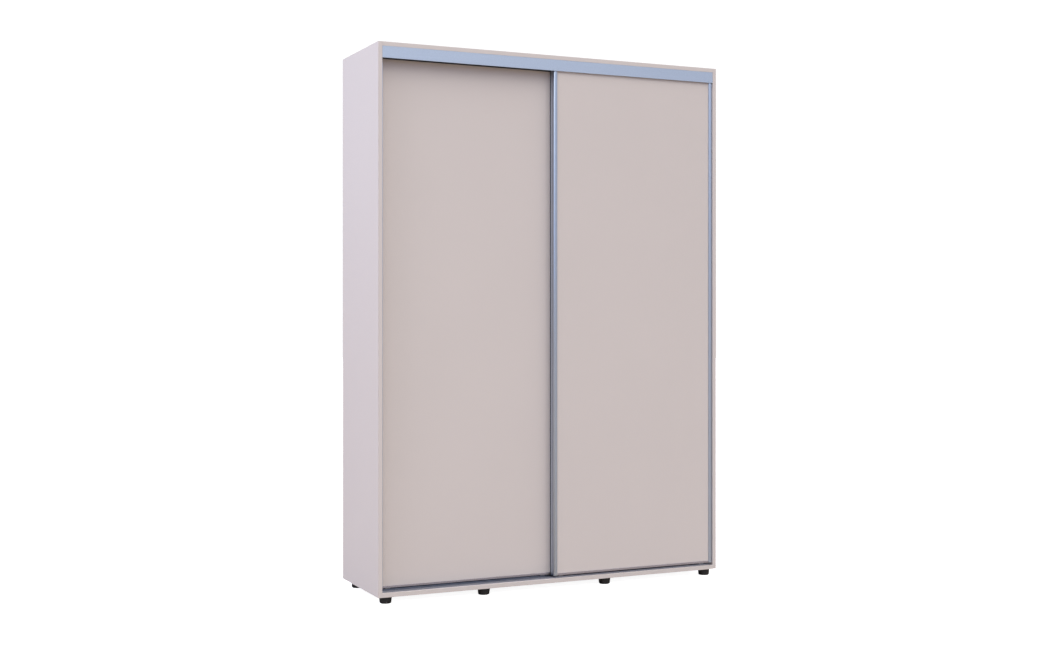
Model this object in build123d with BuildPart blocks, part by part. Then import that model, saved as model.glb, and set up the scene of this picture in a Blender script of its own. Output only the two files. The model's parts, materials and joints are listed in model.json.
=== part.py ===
"""Two-door sliding wardrobe on low plastic feet, in millimetres.

+Z is up, the doors face -Y, and the origin is on the floor under the middle of the footprint.
The left door runs in the rear channel and the right door in the front channel.
"""
import os
from math import hypot

from build123d import *

os.makedirs("parts", exist_ok=True)

# Overall sizes
wardrobe_width = 1500
wardrobe_depth = 450
body_height = 2113
foot_height = 27

# Boards
board_thickness = 16
back_thickness = 3
back_inset = 1
edge_band = 1
band_gap = 0.2
partition_gap = 10
shelf_setback = 4
shelf_side_clearance = 0.5
hat_space_height = 318
right_shelf_count = 5
fixed_shelf_number = 3

# Feet
foot_top_radius = 25
foot_bottom_radius = 22
foot_edge_radius = 4
foot_screw_well_radius = 6
foot_screw_well_depth = 18
outer_foot_inset = 40
inner_foot_left = 302
inner_foot_right = 235
front_foot_inset = 34
rear_foot_inset = 72

# Door frames
door_gap = 9
door_setback = 5
door_floor_gap = 11
door_top_gap = 29
door_side_gap = 0.4
door_overlap = 17.8
stile_width = 16
stile_depth = 28
stile_bead = 4.5
stile_bead_width = 9
stile_facet_drop = 1
stile_grip_depth = 1.8
stile_side_wall = 1.8
profile_wall = 1.5
panel_thickness = 10
panel_recess = 4
panel_fit = 0.1
panel_end_clearance = 0.5
groove_depth = 8
rail_setback = 2.4
bottom_lip_height = 8.5
bottom_rail_height = 40
top_lip_height = 14
top_rail_height = 24

# Screws that hold each door frame together
assembly_screw_radius = 2.1
assembly_screw_length = 25
assembly_head_radius = 4
assembly_head_height = 3
boss_height = 8
access_clearance = 0.25

# Tracks
track_end_clearance = 0.5
fascia_setback = 0.5
fascia_height = 45
fascia_lip = 0.6
fascia_lip_height = 3
top_leg_height = 34
track_wall = 1.5
bottom_track_front = 15
bottom_track_rear_margin = 14
bottom_track_lip_height = 5
wheel_rib_height = 3.5
wheel_side_clearance = 0.8
wheel_floor_clearance = 0.3

# Wheels, carriages and guides
wheel_radius = 14
wheel_width = 6
wheel_edge_fillet = 1
axle_radius = 2
running_clearance = 0.05
carriage_length = 46
carriage_fit = 0.1
carriage_drop = 1.5
carriage_cheek_gap = 0.4
carriage_top_clearance = 1
carriage_offset = 3
adjuster_radius = 2.5
adjuster_length = 24
adjuster_height = 20
guide_clearance = 0.75
guide_height = 12
guide_gap = 1
guide_pin_radius = 3
guide_pin_head_radius = 5
guide_pin_head_height = 1.5
guide_plate_thickness = 3
guide_bracket_length = 40
guide_offset = 6

# Brush seals
brush_base_width = 6.7
brush_base_height = 1
brush_pile_width = 4.8
brush_inset = 1
brush_clearance = 0.3
brush_track_clearance = 2

# Joining fittings
fitting_front_inset = 60
fitting_rear_inset = 62
cam_radius = 7.5
cam_floor = 0.5
cam_setback = 34
cam_recess_width = 1.4
cam_recess_depth = 2
bolt_thread_radius = 2.5
bolt_thread_length = 11
bolt_shaft_radius = 3
bolt_bore_radius = 4
dowel_radius = 4
dowel_in_board = 20
dowel_in_neighbour = 10
dowel_offset = 32

# Shelf pins, nails and screws
pin_radius = 2.5
pin_depth = 8
pin_head_radius = 4
pin_head_length = 7
pin_row_inset = 50
nail_radius = 0.8
nail_length = 18
nail_head_radius = 2
nail_head_height = 0.8
nail_spacing = 260
nail_end_margin = 60
wood_screw_radius = 1.75
wood_screw_length = 14
wood_screw_head_radius = 3.5
wood_screw_head_height = 2
track_screw_count = 4
track_screw_end = 70

# Hanging rail, set front to back
rail_height = 30
rail_width = 15
rail_wall = 1
rail_drop = 48
rail_front_gap = 24
rail_back_gap = 16
rail_bracket_inset = 14
rail_bracket_thickness = 6
rail_bracket_wall = 2.5
rail_bracket_plate = 44
rail_bracket_plate_thickness = 3
rail_screw_offset = 15

# Places worked out from the sizes above
left = -wardrobe_width / 2
right = wardrobe_width / 2
front = -wardrobe_depth / 2
back = wardrobe_depth / 2
body_bottom = foot_height
body_top = foot_height + body_height
inner_left = left + board_thickness
inner_right = right - board_thickness
inner_bottom = body_bottom + board_thickness
inner_top = body_top - board_thickness
inner_back = back - back_thickness
partition_left = -board_thickness / 2
partition_right = board_thickness / 2
cam_depth = board_thickness / 2 + bolt_bore_radius + cam_floor

door_pitch = stile_depth + door_gap
fascia_face = front + fascia_setback
top_track_back = fascia_face + track_wall + 2 * door_pitch
partition_front = top_track_back + partition_gap
shelf_front = partition_front + shelf_setback
hat_shelf_level = inner_top - hat_space_height - board_thickness
shelf_room = inner_top - inner_bottom - right_shelf_count * board_thickness
compartment_height = shelf_room / (right_shelf_count + 1)
right_shelf_levels = [
    inner_bottom + number * (compartment_height + board_thickness) - board_thickness
    for number in range(1, right_shelf_count + 1)
]
fixed_shelf_level = right_shelf_levels.pop(fixed_shelf_number - 1)

door_width = (inner_right - inner_left) / 2 - door_side_gap + door_overlap / 2
door_bottom = inner_bottom + door_floor_gap
door_top = inner_top - door_top_gap
door_height = door_top - door_bottom
front_door_face = front + door_setback
rear_door_face = front_door_face + door_pitch
groove_front = panel_recess - panel_fit
groove_back = panel_recess + panel_thickness + panel_fit
chamber_front = groove_back + profile_wall
chamber_back = stile_depth - profile_wall
chamber_middle = (chamber_front + chamber_back) / 2
boss_middle_low = bottom_rail_height - profile_wall - boss_height / 2
boss_middle_high = top_rail_height - profile_wall - boss_height / 2
carriage_ceiling = bottom_rail_height - profile_wall - boss_height
wheel_floor = inner_bottom + track_wall + wheel_floor_clearance
wheel_centre = wheel_floor + wheel_radius
channel_width = door_pitch - track_wall
channel_middle = fascia_setback + track_wall + channel_width / 2
guide_middle = channel_middle - door_setback
guide_radius = channel_width / 2 - guide_clearance
fitting_rows = (partition_front + fitting_front_inset, inner_back - fitting_rear_inset)

UP = (0, 0, 1)
DOWN = (0, 0, -1)
LEFTWARD = (-1, 0, 0)
RIGHTWARD = (1, 0, 0)
BACKWARD = (0, 1, 0)
FORWARD = (0, -1, 0)


def keep(builder, name):
    """Name a finished piece and write it to its own file."""
    builder.part.label = name
    export_step(builder.part, f"parts/{name}.step")


def along(point, direction, distance):
    """Return the place reached by going a distance from a point."""
    return tuple(start + step * distance for start, step in zip(point, direction))


def block(low, high):
    """Add a plain block between two opposite corners to the part being built."""
    middle = tuple((a + b) / 2 for a, b in zip(low, high))
    with Locations(middle):
        Box(high[0] - low[0], high[1] - low[1], high[2] - low[2])


def strip(low, high):
    """Add a rectangle between two opposite corners to the sketch being drawn."""
    with Locations(((low[0] + high[0]) / 2, (low[1] + high[1]) / 2)):
        Rectangle(high[0] - low[0], high[1] - low[1])


def rod(start, direction, radius, length):
    """Add a round bar to the part being built."""
    with BuildSketch(Plane(origin=start, z_dir=direction)) as end:
        Circle(radius)
    extrude(end.sketch, amount=length)


def drill(start, direction, radius, depth):
    """Take a round hole out of the part being built."""
    with BuildSketch(Plane(origin=start, z_dir=direction)) as mouth:
        Circle(radius)
    extrude(mouth.sketch, amount=depth, mode=Mode.SUBTRACT)


def side_profile(x):
    """Return the plane at x whose own axes are the wardrobe's Y and Z."""
    return Plane(origin=(x, 0, 0), x_dir=(0, 1, 0), z_dir=(1, 0, 0))


def even_places(low, high, count):
    """Spread a number of places evenly from low to high."""
    return [low + (high - low) * step / (count - 1) for step in range(count)]


# Joining fittings: (point on the board's end, way out of that end, way out of the face with the cam)
def board_end_joints(z_middle, x_end, way_out, cam_face):
    """Return the cam fittings at one end of a level board."""
    return [((x_end, y, z_middle), way_out, cam_face) for y in fitting_rows]


top_middle = body_top - board_thickness / 2
bottom_middle = body_bottom + board_thickness / 2
hat_middle = hat_shelf_level + board_thickness / 2
fixed_middle = fixed_shelf_level + board_thickness / 2
joints_of = {
    "top_board": board_end_joints(top_middle, inner_left, LEFTWARD, UP)
    + board_end_joints(top_middle, inner_right, RIGHTWARD, UP),
    "bottom_board": board_end_joints(bottom_middle, inner_left, LEFTWARD, DOWN)
    + board_end_joints(bottom_middle, inner_right, RIGHTWARD, DOWN),
    "centre_partition": [((0, y, inner_top), UP, LEFTWARD) for y in fitting_rows]
    + [((0, y, inner_bottom), DOWN, LEFTWARD) for y in fitting_rows],
    "hat_shelf": board_end_joints(hat_middle, inner_left, LEFTWARD, UP)
    + board_end_joints(hat_middle, partition_left, RIGHTWARD, UP),
    "fixed_shelf": board_end_joints(fixed_middle, partition_right, LEFTWARD, DOWN)
    + board_end_joints(fixed_middle, inner_right, RIGHTWARD, DOWN),
}
all_joints = [joint for joints in joints_of.values() for joint in joints]


def bore_own_end(joints):
    """Cut the cam pockets, bolt bores and dowel holes at the ends of the board being built."""
    for point, way_out, cam_face in joints:
        inward = tuple(-step for step in way_out)
        into_face = tuple(-step for step in cam_face)
        pocket = along(along(point, inward, cam_setback), cam_face, board_thickness / 2)
        drill(pocket, into_face, cam_radius, cam_depth)
        drill(point, inward, bolt_bore_radius, cam_setback)
        drill(along(point, BACKWARD, dowel_offset), inward, dowel_radius, dowel_in_board)


def bore_for_neighbours(joints):
    """Cut the bolt and dowel holes for boards that butt against the board being built."""
    for point, way_out, _ in joints:
        drill(point, way_out, bolt_thread_radius, bolt_thread_length)
        drill(along(point, BACKWARD, dowel_offset), way_out, dowel_radius, dowel_in_neighbour)


def joints_against(x_face, way_out):
    """List the fittings whose bolts enter the upright face at x."""
    return [joint for joint in all_joints if joint[0][0] == x_face and joint[1] == way_out]


# Shelf pins, four to each adjustable shelf
pin_rows = (shelf_front + pin_row_inset, inner_back - pin_row_inset)
left_pins = []
right_pins = []
for level in right_shelf_levels:
    for y in pin_rows:
        left_pins.append((partition_right, y, level - pin_head_radius))
        right_pins.append((inner_right, y, level - pin_head_radius))

# Nails through the back sheets, (x, z) with the board each one enters
nail_rows = even_places(
    body_bottom + nail_end_margin, body_top - nail_end_margin, round(body_height / nail_spacing)
)
left_columns = even_places(inner_left + nail_end_margin, partition_left - nail_end_margin, 3)
right_columns = even_places(partition_right + nail_end_margin, inner_right - nail_end_margin, 3)
nails_of = {
    "side_panel_left": [(left + board_thickness / 2, z) for z in nail_rows],
    "side_panel_right": [(right - board_thickness / 2, z) for z in nail_rows],
    "centre_partition": [(board_thickness / 4 * (-1) ** step, z) for step, z in enumerate(nail_rows)],
    "top_board": [(x, top_middle) for x in left_columns + right_columns],
    "bottom_board": [(x, bottom_middle) for x in left_columns + right_columns],
    "hat_shelf": [(x, hat_middle) for x in left_columns],
    "fixed_shelf": [(x, fixed_middle) for x in right_columns],
}
all_nails = [nail for nails in nails_of.values() for nail in nails]


def nail_bores(nails):
    """Cut the holes that nails make in the rear edge of the board being built."""
    for x, z in nails:
        drill((x, inner_back, z), FORWARD, nail_radius, nail_length - back_thickness)


foot_columns = (left + outer_foot_inset, -inner_foot_left, inner_foot_right, right - outer_foot_inset)
foot_places = [
    (x, y) for y in (front + front_foot_inset, back - rear_foot_inset) for x in foot_columns
]
foot_screw_top = foot_screw_well_depth + wood_screw_length
top_track_screw_rows = (
    front + channel_middle,
    front + channel_middle + door_pitch,
)
wheel_rows = (front + door_setback + chamber_middle, front + door_setback + chamber_middle + door_pitch)
bottom_track_screw_row = sum(wheel_rows) / 2
track_columns = even_places(
    inner_left + track_screw_end, inner_right - track_screw_end, track_screw_count
)

# Hanging rail under the hat shelf, halfway across the left bay
rail_x = (inner_left + partition_left) / 2
rail_front = shelf_front + rail_front_gap
rail_back = inner_back - rail_back_gap
rail_middle = hat_shelf_level - rail_drop
rail_bracket_rows = (rail_front + rail_bracket_inset, rail_back - rail_bracket_inset)
rail_screw_places = [
    (rail_x + side * rail_screw_offset, y) for y in rail_bracket_rows for side in (-1, 1)
]


# Carcass boards
for name, x_low, inner_face, way_out in (
    ("side_panel_left", left, inner_left, LEFTWARD),
    ("side_panel_right", inner_right, inner_right, RIGHTWARD),
):
    with BuildPart() as side_panel:
        block(
            (x_low, front + edge_band, body_bottom),
            (x_low + board_thickness, inner_back, body_top),
        )
        bore_for_neighbours(joints_against(inner_face, way_out))
        nail_bores(nails_of[name])
        if name == "side_panel_right":
            for place in right_pins:
                drill(place, RIGHTWARD, pin_radius, pin_depth)
    keep(side_panel, name)

with BuildPart() as top_board:
    block((inner_left, front + edge_band, inner_top), (inner_right, inner_back, body_top))
    bore_own_end(joints_of["top_board"])
    bore_for_neighbours([joint for joint in joints_of["centre_partition"] if joint[1] == UP])
    nail_bores(nails_of["top_board"])
    for x in track_columns:
        for y in top_track_screw_rows:
            drill((x, y, inner_top), UP, wood_screw_radius, wood_screw_length - track_wall)
keep(top_board, "top_board")

with BuildPart() as bottom_board:
    block((inner_left, front + edge_band, body_bottom), (inner_right, inner_back, inner_bottom))
    bore_own_end(joints_of["bottom_board"])
    bore_for_neighbours([joint for joint in joints_of["centre_partition"] if joint[1] == DOWN])
    nail_bores(nails_of["bottom_board"])
    for x in track_columns:
        screw_start = (x, bottom_track_screw_row, inner_bottom)
        drill(screw_start, DOWN, wood_screw_radius, wood_screw_length - track_wall)
    for x, y in foot_places:
        drill((x, y, body_bottom), UP, wood_screw_radius, foot_screw_top - foot_height)
keep(bottom_board, "bottom_board")

with BuildPart() as centre_partition:
    block(
        (partition_left, partition_front + edge_band, inner_bottom),
        (partition_right, inner_back, inner_top),
    )
    bore_own_end(joints_of["centre_partition"])
    bore_for_neighbours(joints_against(partition_left, RIGHTWARD))
    bore_for_neighbours(joints_against(partition_right, LEFTWARD))
    nail_bores(nails_of["centre_partition"])
    for place in left_pins:
        drill(place, LEFTWARD, pin_radius, pin_depth)
keep(centre_partition, "centre_partition")

with BuildPart() as hat_shelf:
    block(
        (inner_left, shelf_front + edge_band, hat_shelf_level),
        (partition_left, inner_back, hat_shelf_level + board_thickness),
    )
    bore_own_end(joints_of["hat_shelf"])
    nail_bores(nails_of["hat_shelf"])
    for x, y in rail_screw_places:
        screw_grip = wood_screw_length - rail_bracket_plate_thickness
        drill((x, y, hat_shelf_level), UP, wood_screw_radius, screw_grip)
keep(hat_shelf, "hat_shelf")

with BuildPart() as fixed_shelf:
    block(
        (partition_right, shelf_front + edge_band, fixed_shelf_level),
        (inner_right, inner_back, fixed_shelf_level + board_thickness),
    )
    bore_own_end(joints_of["fixed_shelf"])
    nail_bores(nails_of["fixed_shelf"])
keep(fixed_shelf, "fixed_shelf")

for number, level in enumerate(right_shelf_levels, start=1):
    with BuildPart() as adjustable_shelf:
        block(
            (partition_right + shelf_side_clearance, shelf_front + edge_band, level),
            (inner_right - shelf_side_clearance, inner_back - back_inset, level + board_thickness),
        )
    keep(adjustable_shelf, f"adjustable_shelf_{number}")

for name, x_low, x_high, boards in (
    (
        "back_sheet_left",
        left + back_inset,
        -back_inset / 2,
        ("side_panel_left", "top_board", "bottom_board", "hat_shelf", "centre_partition"),
    ),
    (
        "back_sheet_right",
        back_inset / 2,
        right - back_inset,
        ("side_panel_right", "top_board", "bottom_board", "fixed_shelf", "centre_partition"),
    ),
):
    with BuildPart() as back_sheet:
        block(
            (x_low, inner_back, body_bottom + back_inset),
            (x_high, back, body_top - back_inset),
        )
        for board in boards:
            for x, z in nails_of[board]:
                if x_low < x < x_high:
                    drill((x, back, z), FORWARD, nail_head_radius, nail_head_height)
                    drill((x, back, z), FORWARD, nail_radius, back_thickness)
    keep(back_sheet, name)

with BuildPart() as front_edge_bands:
    block((left, front, body_bottom), (inner_left, front + edge_band, body_top))
    block((inner_right, front, body_bottom), (right, front + edge_band, body_top))
    for low, high in ((inner_top, body_top), (body_bottom, inner_bottom)):
        block(
            (inner_left + band_gap, front, low),
            (inner_right - band_gap, front + edge_band, high),
        )
keep(front_edge_bands, "front_edge_bands")

with BuildPart() as inner_edge_bands:
    block(
        (partition_left, partition_front, inner_bottom),
        (partition_right, partition_front + edge_band, inner_top),
    )
    block(
        (inner_left, shelf_front, hat_shelf_level),
        (partition_left, shelf_front + edge_band, hat_shelf_level + board_thickness),
    )
    block(
        (partition_right, shelf_front, fixed_shelf_level),
        (inner_right, shelf_front + edge_band, fixed_shelf_level + board_thickness),
    )
    for level in right_shelf_levels:
        block(
            (partition_right + shelf_side_clearance, shelf_front, level),
            (inner_right - shelf_side_clearance, shelf_front + edge_band, level + board_thickness),
        )
keep(inner_edge_bands, "inner_edge_bands")

# Joining fittings
with BuildPart() as cam_housings:
    for point, way_out, cam_face in all_joints:
        inward = tuple(-step for step in way_out)
        into_face = tuple(-step for step in cam_face)
        centre = along(point, inward, cam_setback)
        mouth = along(centre, cam_face, board_thickness / 2)
        rod(mouth, into_face, cam_radius, cam_depth)
        drill(centre, way_out, bolt_bore_radius, cam_radius * 2)
        for width, length in ((cam_recess_width, cam_radius), (cam_radius, cam_recess_width)):
            with BuildSketch(Plane(origin=mouth, x_dir=way_out, z_dir=into_face)):
                Rectangle(width, length)
            extrude(amount=cam_recess_depth, mode=Mode.SUBTRACT)
keep(cam_housings, "cam_housings")

with BuildPart() as cam_bolts:
    for point, way_out, _ in all_joints:
        inward = tuple(-step for step in way_out)
        rod(point, way_out, bolt_thread_radius, bolt_thread_length)
        rod(point, inward, bolt_shaft_radius, cam_setback)
keep(cam_bolts, "cam_bolts")

with BuildPart() as dowels:
    for point, way_out, _ in all_joints:
        start = along(along(point, BACKWARD, dowel_offset), way_out, dowel_in_neighbour)
        inward = tuple(-step for step in way_out)
        rod(start, inward, dowel_radius, dowel_in_neighbour + dowel_in_board)
keep(dowels, "dowels")

with BuildPart() as shelf_pins:
    for places, into_board, out_of_board in (
        (left_pins, LEFTWARD, RIGHTWARD),
        (right_pins, RIGHTWARD, LEFTWARD),
    ):
        for place in places:
            rod(place, into_board, pin_radius, pin_depth)
            rod(place, out_of_board, pin_head_radius, pin_head_length)
keep(shelf_pins, "shelf_pins")

with BuildPart() as back_nails:
    for x, z in all_nails:
        rod((x, back, z), FORWARD, nail_head_radius, nail_head_height)
        rod((x, back, z), FORWARD, nail_radius, nail_length)
keep(back_nails, "back_nails")

# Hanging rail
with BuildPart() as hanging_rail:
    with BuildSketch(Plane(origin=(rail_x, rail_front, rail_middle), x_dir=UP, z_dir=BACKWARD)):
        SlotOverall(rail_height, rail_width)
        SlotOverall(rail_height - 2 * rail_wall, rail_width - 2 * rail_wall, mode=Mode.SUBTRACT)
    extrude(amount=rail_back - rail_front)
keep(hanging_rail, "hanging_rail")

with BuildPart() as hanging_rail_brackets:
    for y in rail_bracket_rows:
        y_low = y - rail_bracket_thickness / 2
        with BuildSketch(Plane(origin=(rail_x, y_low, rail_middle), x_dir=UP, z_dir=BACKWARD)):
            SlotOverall(rail_height + 2 * rail_bracket_wall, rail_width + 2 * rail_bracket_wall)
            strip((0, -rail_width / 2), (rail_drop - rail_bracket_plate_thickness, rail_width / 2))
            SlotOverall(rail_height, rail_width, mode=Mode.SUBTRACT)
        extrude(amount=rail_bracket_thickness)
        block(
            (
                rail_x - rail_bracket_plate / 2,
                y - 2 * rail_bracket_thickness,
                hat_shelf_level - rail_bracket_plate_thickness,
            ),
            (rail_x + rail_bracket_plate / 2, y + 2 * rail_bracket_thickness, hat_shelf_level),
        )
    for x, y in rail_screw_places:
        drill((x, y, hat_shelf_level), DOWN, wood_screw_radius, rail_bracket_plate_thickness)
keep(hanging_rail_brackets, "hanging_rail_brackets")

with BuildPart() as hanging_rail_screws:
    for x, y in rail_screw_places:
        start = (x, y, hat_shelf_level - rail_bracket_plate_thickness)
        rod(start, UP, wood_screw_radius, wood_screw_length)
        rod(start, DOWN, wood_screw_head_radius, wood_screw_head_height)
keep(hanging_rail_screws, "hanging_rail_screws")

# Feet, each a tapered cup with a screw well from below
with BuildPart() as feet:
    for x, y in foot_places:
        with BuildSketch(Plane(origin=(x, y, 0), x_dir=RIGHTWARD, z_dir=FORWARD)) as foot_section:
            with BuildLine():
                Polyline(
                    (foot_screw_well_radius, 0),
                    (foot_bottom_radius, 0),
                    (foot_top_radius, foot_height),
                    (wood_screw_radius, foot_height),
                    (wood_screw_radius, foot_screw_well_depth),
                    (foot_screw_well_radius, foot_screw_well_depth),
                    close=True,
                )
            make_face()
            outer_corner = foot_section.vertices().group_by(Axis.Y)[0].sort_by(Axis.X)[-1]
            fillet(outer_corner, foot_edge_radius)
        revolve(axis=Axis((x, y, 0), UP))
keep(feet, "feet")

with BuildPart() as foot_screws:
    for x, y in foot_places:
        rod((x, y, foot_screw_well_depth), UP, wood_screw_radius, wood_screw_length)
        rod((x, y, foot_screw_well_depth), DOWN, wood_screw_head_radius, wood_screw_head_height)
keep(foot_screws, "foot_screws")

# Tracks
track_length = inner_right - inner_left - 2 * track_end_clearance
with BuildPart() as top_track:
    with BuildSketch(side_profile(inner_left + track_end_clearance)):
        strip((fascia_face, inner_top - track_wall), (top_track_back, inner_top))
        strip((fascia_face, inner_top - fascia_height), (fascia_face + track_wall, inner_top))
        strip(
            (fascia_face, inner_top - fascia_height),
            (fascia_face + track_wall + fascia_lip, inner_top - fascia_height + fascia_lip_height),
        )
        for leg in (1, 2):
            leg_front = fascia_face + leg * door_pitch
            strip((leg_front, inner_top - top_leg_height), (leg_front + track_wall, inner_top))
    extrude(amount=track_length)
    for x in track_columns:
        for y in top_track_screw_rows:
            drill((x, y, inner_top), DOWN, wood_screw_radius, track_wall)
keep(top_track, "top_track")

bottom_track_face = front + bottom_track_front
bottom_track_back = wheel_rows[1] + bottom_track_rear_margin
rib_offset = wheel_width / 2 + wheel_side_clearance
with BuildPart() as bottom_track:
    with BuildSketch(side_profile(inner_left + track_end_clearance)):
        strip((bottom_track_face, inner_bottom), (bottom_track_back, inner_bottom + track_wall))
        for edge in (bottom_track_face, bottom_track_back - track_wall):
            strip((edge, inner_bottom), (edge + track_wall, inner_bottom + bottom_track_lip_height))
        for wheel_row in wheel_rows:
            for rib_low in (wheel_row - rib_offset - track_wall, wheel_row + rib_offset):
                strip(
                    (rib_low, inner_bottom),
                    (rib_low + track_wall, inner_bottom + track_wall + wheel_rib_height),
                )
    extrude(amount=track_length)
    for x in track_columns:
        screw_hole = (x, bottom_track_screw_row, inner_bottom)
        drill(screw_hole, UP, wood_screw_radius, track_wall)
keep(bottom_track, "bottom_track")

with BuildPart() as track_screws:
    for x in track_columns:
        for y in top_track_screw_rows:
            start = (x, y, inner_top - track_wall)
            rod(start, UP, wood_screw_radius, wood_screw_length)
            rod(start, DOWN, wood_screw_head_radius, wood_screw_head_height)
        start = (x, bottom_track_screw_row, inner_bottom + track_wall)
        rod(start, DOWN, wood_screw_radius, wood_screw_length)
        rod(start, UP, wood_screw_head_radius, wood_screw_head_height)
keep(track_screws, "track_screws")


# Doors
def stile_section(outer_x, inward, door_face):
    """Draw the hollow section of a stile whose outer edge is at outer_x."""
    def place(across, deep):
        return (outer_x + inward * across, door_face + deep)

    grip_chord = stile_depth - stile_bead
    grip_middle = place(stile_grip_depth, stile_bead + grip_chord / 2)
    bead_shift = stile_bead * (1 - hypot(1, 1) / 2)
    with BuildLine() as outline:
        Polyline(
            place(stile_bead, 0),
            place(stile_bead_width, 0),
            place(stile_width, stile_facet_drop),
            place(stile_width, groove_front),
            place(stile_width - groove_depth, groove_front),
            place(stile_width - groove_depth, groove_back),
            place(stile_width, groove_back),
            place(stile_width, stile_depth),
            place(0, stile_depth),
        )
        ThreePointArc(place(0, stile_depth), grip_middle, place(0, stile_bead))
        ThreePointArc(place(0, stile_bead), place(bead_shift, bead_shift), place(stile_bead, 0))
    make_face(outline.edges())
    cavity_outer = stile_grip_depth + stile_side_wall
    cavity_inner = stile_width - groove_depth - profile_wall
    with BuildLine() as cavity:
        Polyline(
            place(cavity_outer, groove_front),
            place(cavity_inner, groove_front),
            place(cavity_inner, chamber_front),
            place(stile_width - profile_wall, chamber_front),
            place(stile_width - profile_wall, chamber_back),
            place(cavity_outer, chamber_back),
            close=True,
        )
    make_face(cavity.edges(), mode=Mode.SUBTRACT)


def make_door(door, door_left, door_face, brush_on_left):
    """Build every piece of one door; the brush seal is on its left or right stile."""
    door_right = door_left + door_width
    rail_left = door_left + stile_width
    rail_right = door_right - stile_width
    screw_row = door_face + chamber_middle
    low_screw = door_bottom + boss_middle_low
    high_screw = door_top - boss_middle_high
    adjuster_level = door_bottom + adjuster_height
    stiles = (("left", door_left, RIGHTWARD, 1), ("right", door_right, LEFTWARD, -1))

    with BuildPart() as panel:
        block(
            (
                door_left + stile_width - groove_depth + panel_end_clearance,
                door_face + panel_recess,
                door_bottom + profile_wall + panel_end_clearance,
            ),
            (
                door_right - stile_width + groove_depth - panel_end_clearance,
                door_face + panel_recess + panel_thickness,
                door_top - profile_wall - panel_end_clearance,
            ),
        )
    keep(panel, f"{door}_panel")

    for side, outer_x, way_in, inward in stiles:
        with BuildPart() as stile:
            with BuildSketch(Plane.XY.offset(door_bottom)):
                stile_section(outer_x, inward, door_face)
            extrude(amount=door_height)
            for level in (low_screw, high_screw):
                start = (outer_x, screw_row, level)
                drill(start, way_in, assembly_head_radius + access_clearance, stile_width / 2)
                drill(start, way_in, assembly_screw_radius, stile_width)
            start = (outer_x, screw_row, adjuster_level)
            drill(start, way_in, adjuster_radius + access_clearance, stile_width)
        keep(stile, f"{door}_stile_{side}")

    lip_face = door_face + rail_setback
    web_face = door_face + groove_back
    rear_face = door_face + stile_depth
    boss_low = door_bottom + carriage_ceiling
    with BuildPart() as bottom_rail:
        with BuildSketch(side_profile(rail_left)):
            strip((lip_face, door_bottom), (web_face + profile_wall, door_bottom + profile_wall))
            strip((lip_face, door_bottom), (lip_face + profile_wall, door_bottom + bottom_lip_height))
            for wall_face in (web_face, rear_face - profile_wall):
                strip(
                    (wall_face, door_bottom),
                    (wall_face + profile_wall, door_bottom + bottom_rail_height),
                )
            strip((web_face, boss_low), (rear_face, door_bottom + bottom_rail_height))
            with Locations((screw_row, low_screw)):
                Circle(assembly_screw_radius, mode=Mode.SUBTRACT)
        extrude(amount=rail_right - rail_left)
    keep(bottom_rail, f"{door}_bottom_rail")

    with BuildPart() as top_rail:
        with BuildSketch(side_profile(rail_left)):
            strip((lip_face, door_top - profile_wall), (web_face + profile_wall, door_top))
            strip((lip_face, door_top - top_lip_height), (lip_face + profile_wall, door_top))
            for wall_face in (web_face, rear_face - profile_wall):
                strip((wall_face, door_top - top_rail_height), (wall_face + profile_wall, door_top))
            strip(
                (web_face, door_top - top_rail_height),
                (rear_face, door_top - top_rail_height + profile_wall + boss_height),
            )
            with Locations((screw_row, high_screw)):
                Circle(assembly_screw_radius, mode=Mode.SUBTRACT)
        extrude(amount=rail_right - rail_left)
    keep(top_rail, f"{door}_top_rail")

    with BuildPart() as assembly_screws:
        for _, outer_x, way_in, _ in stiles:
            seat = stile_width - profile_wall
            for level in (low_screw, high_screw):
                start = along((outer_x, screw_row, level), way_in, seat)
                back_out = tuple(-step for step in way_in)
                rod(start, way_in, assembly_screw_radius, assembly_screw_length)
                rod(start, back_out, assembly_head_radius, assembly_head_height)
    keep(assembly_screws, f"{door}_assembly_screws")

    # Bottom carriages, each with a grooveless wheel on an axle across the rail
    carriage_near = stile_width + carriage_offset
    wheel_places = [
        along((outer_x, screw_row, wheel_centre), way_in, carriage_near + carriage_length / 2)
        for _, outer_x, way_in, _ in stiles
    ]
    half_chamber = (chamber_back - chamber_front) / 2 - carriage_fit
    slot_half_width = wheel_width / 2 + carriage_cheek_gap
    with BuildPart() as carriages:
        for x, y, _ in wheel_places:
            block(
                (x - carriage_length / 2, y - half_chamber, door_bottom - carriage_drop),
                (x + carriage_length / 2, y + half_chamber, boss_low - carriage_top_clearance),
            )
        for x, y, z in wheel_places:
            with BuildSketch(Plane(origin=(x, y - slot_half_width, 0), z_dir=BACKWARD, x_dir=RIGHTWARD)):
                with Locations((0, -z)):
                    Circle(wheel_radius + carriage_cheek_gap * 2)
                strip(
                    (-wheel_radius - carriage_cheek_gap * 2, -z),
                    (wheel_radius + carriage_cheek_gap * 2, 0),
                )
            extrude(amount=2 * slot_half_width, mode=Mode.SUBTRACT)
            drill((x, y - half_chamber, z), BACKWARD, axle_radius, 2 * half_chamber)
        for _, outer_x, way_in, _ in stiles:
            start = (outer_x, screw_row, adjuster_level)
            drill(start, way_in, adjuster_radius, stile_width - profile_wall + adjuster_length / 2)
    keep(carriages, f"{door}_carriages")

    with BuildPart() as adjusting_screws:
        for _, outer_x, way_in, _ in stiles:
            end_in = stile_width - profile_wall + adjuster_length / 2
            start = along((outer_x, screw_row, adjuster_level), way_in, end_in - adjuster_length)
            rod(start, way_in, adjuster_radius, adjuster_length)
    keep(adjusting_screws, f"{door}_adjusting_screws")

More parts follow.
